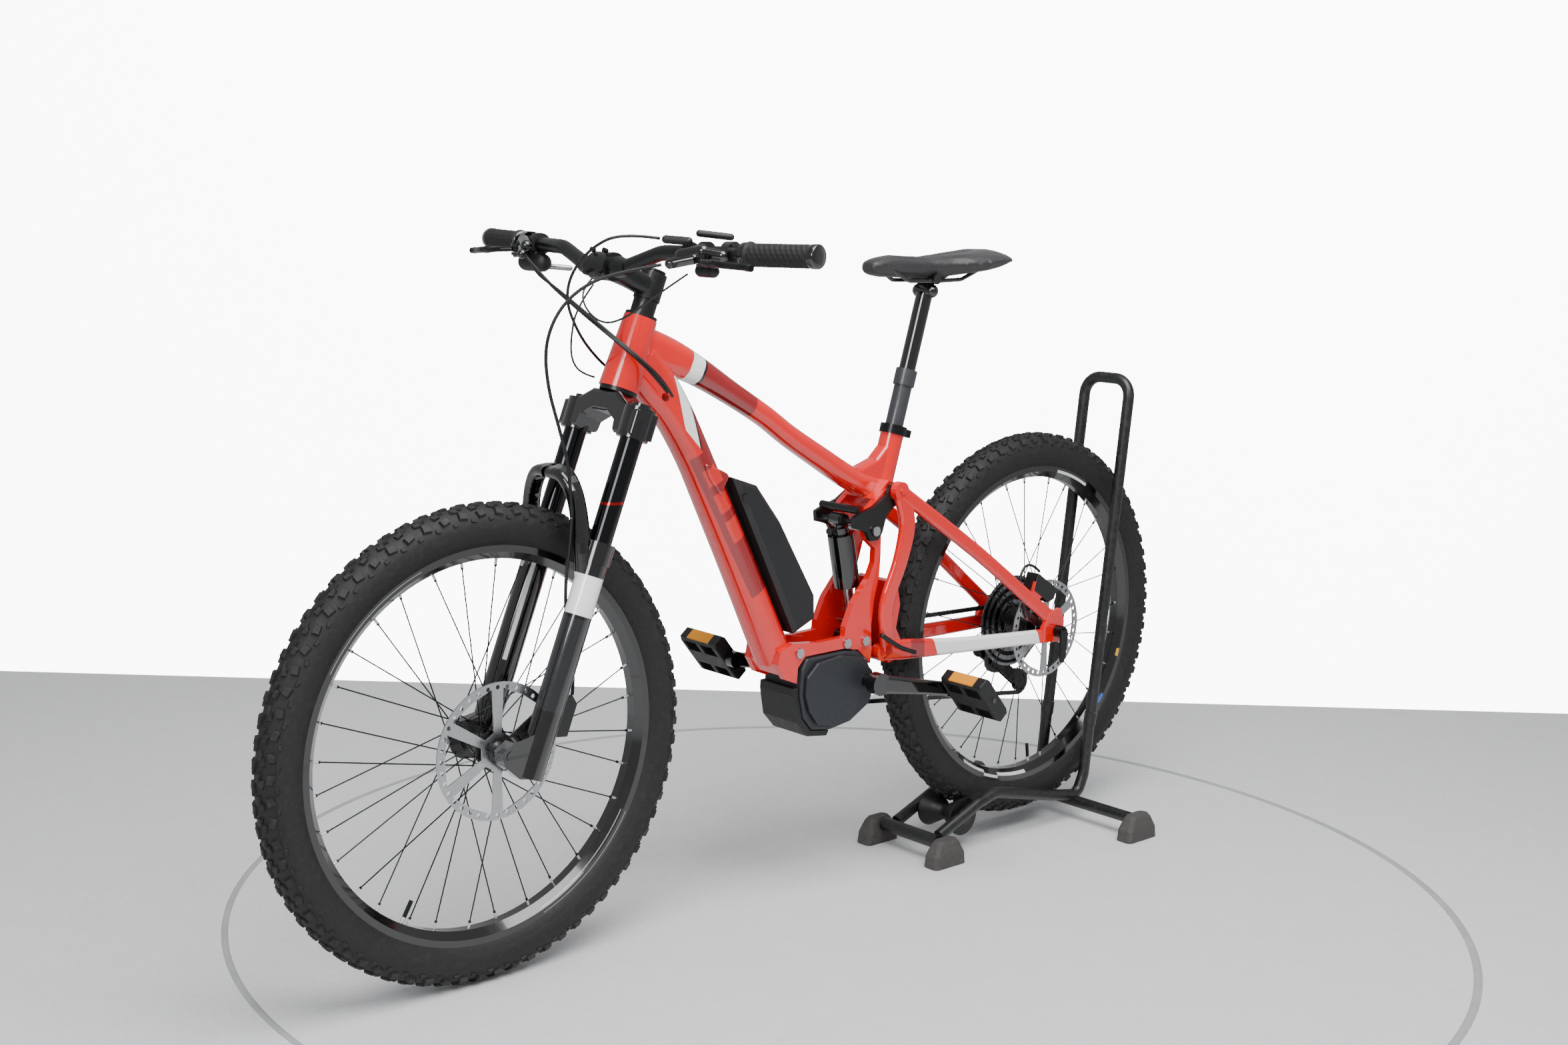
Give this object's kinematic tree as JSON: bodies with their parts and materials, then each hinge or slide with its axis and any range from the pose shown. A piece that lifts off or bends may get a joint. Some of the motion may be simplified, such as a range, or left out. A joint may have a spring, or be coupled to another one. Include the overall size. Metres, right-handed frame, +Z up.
{
  "type": "bicycle on stand",
  "caption": "Full-suspension bicycle with battery and mid motor, its rear wheel held in a tubular floor stand; wheels, steering, suspension, drive and seat post move.",
  "frame": {"origin": "on the floor, midway between the wheel axles, on the bicycle's middle plane", "axes": "+X towards the rear wheel and the stand, -X is the riding direction, -Y is the bicycle's left side, +Z up"},
  "size_m": [1.895, 0.786, 1.0971],
  "materials": {
    "stand_paint": "satin black powder coat",
    "rubber_foot": "moulded grey-black rubber",
    "roller_plastic": "moulded black plastic",
    "frame_paint": "gloss red",
    "black_alloy": "gloss black",
    "steel": "plain steel",
    "cog_steel": "dark oiled steel",
    "fork_gloss": "gloss black",
    "tyre_rubber": "matt black rubber",
    "grip_rubber": "knurled rubber",
    "black_plastic": "moulded black",
    "lever_alloy": "gloss black",
    "battery_shell": "fine matt black",
    "motor_shell": "dark grey satin",
    "post_alloy": "satin black anodised",
    "saddle_cover": "black synthetic cover",
    "cable_sleeve": "black sleeve"
  },
  "bodies": {
    "stand": {"stand_hoop": "stand_paint", "stand_rails": "stand_paint", "stand_cross_bars": "stand_paint", "stand_feet": "rubber_foot"},
    "roller": {"stand_roller": "roller_plastic"},
    "main_frame": {"head_tube": "frame_paint", "headset": "black_alloy", "top_tube": "frame_paint", "down_tube": "frame_paint", "seat_mast": "frame_paint", "frame_pins": "steel", "seat_clamp": "black_alloy", "post_lower": "post_alloy", "motor": "motor_shell", "skid_plate": "black_plastic", "bar_cables": "cable_sleeve"},
    "battery_pack": {"battery": "battery_shell"},
    "steered_parts": {"fork_crown": "fork_gloss", "fork_stanchions": "fork_gloss", "stem": "black_alloy", "handlebar": "black_alloy", "grips": "grip_rubber", "brake_masters": "black_plastic", "bar_controls": "black_plastic", "front_brake_hose": "cable_sleeve"},
    "left_brake_blade": {"brake_lever_left": "lever_alloy"},
    "right_brake_blade": {"brake_lever_right": "lever_alloy"},
    "shift_paddle": {"shift_lever": "black_plastic"},
    "post_remote": {"dropper_lever": "black_plastic"},
    "fork_slider": {"fork_lowers": "fork_gloss", "front_caliper": "black_plastic", "front_hose_low": "cable_sleeve"},
    "front_wheel": {"front_tyre": "tyre_rubber", "front_rim": "black_alloy", "front_hub": "black_alloy", "front_spokes": "steel", "front_rotor": "steel"},
    "rear_swingarm": {"rear_triangle": "frame_paint", "rear_caliper": "black_plastic", "derailleur": "black_alloy", "chain": "cog_steel", "rear_cables": "cable_sleeve"},
    "axle_lever": {"rear_axle": "black_alloy"},
    "tension_cage": {"derailleur_cage": "black_alloy"},
    "rear_wheel": {"rear_tyre": "tyre_rubber", "rear_rim": "black_alloy", "rear_hub": "black_alloy", "rear_spokes": "steel", "rear_rotor": "steel"},
    "cog_stack": {"cassette": "cog_steel"},
    "crankset": {"cranks": "black_alloy", "chainring": "steel"},
    "left_pedal": {"pedal_left": "black_plastic"},
    "right_pedal": {"pedal_right": "black_plastic"},
    "rocker_link": {"rocker": "black_alloy"},
    "short_link": {"lower_link": "black_alloy"},
    "shock_lower": {"shock_shaft": "steel"},
    "shock_upper": {"shock_can": "black_alloy"},
    "sliding_post": {"saddle_post": "post_alloy", "saddle": "saddle_cover"}
  },
  "joints": [
    {"name": "roller_spin", "type": "hinge", "parent": "stand", "child": "roller", "pos_m": [0.41, 0, 0.057], "axis": [0, 1, 0], "continuous": true},
    {"name": "bike_lift_out", "type": "slide", "parent": "stand", "child": "main_frame", "axis": [-0.8192, 0, 0.5736], "range_m": [0, 0.4]},
    {"name": "steering", "type": "hinge", "parent": "main_frame", "child": "steered_parts", "pos_m": [-0.331, 0, 0.91], "axis": [0.3502, 0, 0.9367], "range_deg": [-45, 45], "deforming": ["bar_cables", "front_brake_hose"]},
    {"name": "fork_travel", "type": "slide", "parent": "steered_parts", "child": "fork_slider", "axis": [0.3502, 0, 0.9367], "range_m": [0, 0.14], "stiffness_N_per_m": 3500, "springref_m": -0.07, "deforming": ["front_brake_hose", "front_hose_low"]},
    {"name": "front_wheel_spin", "type": "hinge", "parent": "fork_slider", "child": "front_wheel", "pos_m": [-0.5925, 0, 0.355], "axis": [0, 1, 0], "continuous": true},
    {"name": "left_brake_pull", "type": "hinge", "parent": "steered_parts", "child": "left_brake_blade", "pos_m": [-0.38098, -0.222, 1.05574], "axis": [0, 0, 1], "range_deg": [0, 14], "stiffness_Nm_per_rad": 1.2, "springref_deg": -17.19},
    {"name": "right_brake_pull", "type": "hinge", "parent": "steered_parts", "child": "right_brake_blade", "pos_m": [-0.38098, 0.222, 1.05574], "axis": [0, 0, -1], "range_deg": [0, 14], "stiffness_Nm_per_rad": 1.2, "springref_deg": -17.19},
    {"name": "shift_push", "type": "hinge", "parent": "steered_parts", "child": "shift_paddle", "pos_m": [-0.34037, 0.199, 1.03045], "axis": [0, 1, 0], "range_deg": [0, 20], "stiffness_Nm_per_rad": 0.4, "springref_deg": -17.19},
    {"name": "post_remote_push", "type": "hinge", "parent": "steered_parts", "child": "post_remote", "pos_m": [-0.35248, -0.182, 1.09207], "axis": [0, 1, 0], "range_deg": [0, 15], "stiffness_Nm_per_rad": 0.4, "springref_deg": -17.19},
    {"name": "rear_suspension", "type": "hinge", "parent": "main_frame", "child": "rear_swingarm", "pos_m": [0.09847, 0, 0.43407], "axis": [0, -1, 0], "range_deg": [0, 12.34], "stiffness_Nm_per_rad": 700, "springref_deg": -6.88, "deforming": ["chain", "rear_cables"]},
    {"name": "rocker_pivot", "type": "hinge", "parent": "main_frame", "child": "rocker_link", "pos_m": [0.15, 0, 0.604], "axis": [0, -1, 0], "range_deg": [0, 40.2]},
    {"name": "lower_link_pivot", "type": "hinge", "parent": "main_frame", "child": "short_link", "pos_m": [0.144, 0, 0.417], "axis": [0, -1, 0], "range_deg": [0, 25.15]},
    {"name": "shock_low_pivot", "type": "hinge", "parent": "main_frame", "child": "shock_lower", "pos_m": [0.1525, 0, 0.44], "axis": [0, -1, 0], "range_deg": [0, 3.06]},
    {"name": "shock_travel", "type": "slide", "parent": "shock_lower", "child": "shock_upper", "axis": [0.2184, 0, -0.9759], "range_m": [0, 0.02726]},
    {"name": "rear_wheel_spin", "type": "hinge", "parent": "rear_swingarm", "child": "rear_wheel", "pos_m": [0.5925, 0, 0.3833], "axis": [0, 1, 0], "continuous": true},
    {"name": "cog_spin", "type": "hinge", "parent": "rear_swingarm", "child": "cog_stack", "pos_m": [0.5925, 0, 0.3833], "axis": [0, 1, 0], "continuous": true},
    {"name": "axle_lever_turn", "type": "hinge", "parent": "rear_swingarm", "child": "axle_lever", "pos_m": [0.5925, 0, 0.3833], "axis": [0, 1, 0], "continuous": true},
    {"name": "tension_cage_swing", "type": "hinge", "parent": "rear_swingarm", "child": "tension_cage", "pos_m": [0.588, 0, 0.303], "axis": [0, 1, 0], "range_deg": [0, 40], "stiffness_Nm_per_rad": 0.5, "springref_deg": -45.84, "deforming": ["chain"]},
    {"name": "crank_spin", "type": "hinge", "parent": "main_frame", "child": "crankset", "pos_m": [0.137, 0, 0.352], "axis": [0, 1, 0], "continuous": true},
    {"name": "left_pedal_spin", "type": "hinge", "parent": "crankset", "child": "left_pedal", "pos_m": [0.30399, 0, 0.32015], "axis": [0, 1, 0], "continuous": true},
    {"name": "right_pedal_spin", "type": "hinge", "parent": "crankset", "child": "right_pedal", "pos_m": [-0.02999, 0, 0.38386], "axis": [0, 1, 0], "continuous": true},
    {"name": "post_travel", "type": "slide", "parent": "main_frame", "child": "sliding_post", "axis": [0.2723, 0, 0.9622], "range_m": [-0.125, 0], "stiffness_N_per_m": 300, "springref_m": 0.35},
    {"name": "battery_release", "type": "hinge", "parent": "main_frame", "child": "battery_pack", "pos_m": [-0.01, 0, 0.452], "axis": [0, 1, 0], "range_deg": [0, 14]}
  ],
  "couplings": [
    {"joint": "rocker_pivot", "follows": "rear_suspension", "ratio": 3.237},
    {"joint": "lower_link_pivot", "follows": "rear_suspension", "ratio": 2.0193},
    {"joint": "shock_low_pivot", "follows": "rear_suspension", "ratio": 0.23982},
    {"joint": "shock_travel", "follows": "rear_suspension", "m_per_rad": 0.12547},
    {"joint": "cog_spin", "follows": "crank_spin", "ratio": 2.8628}
  ]
}
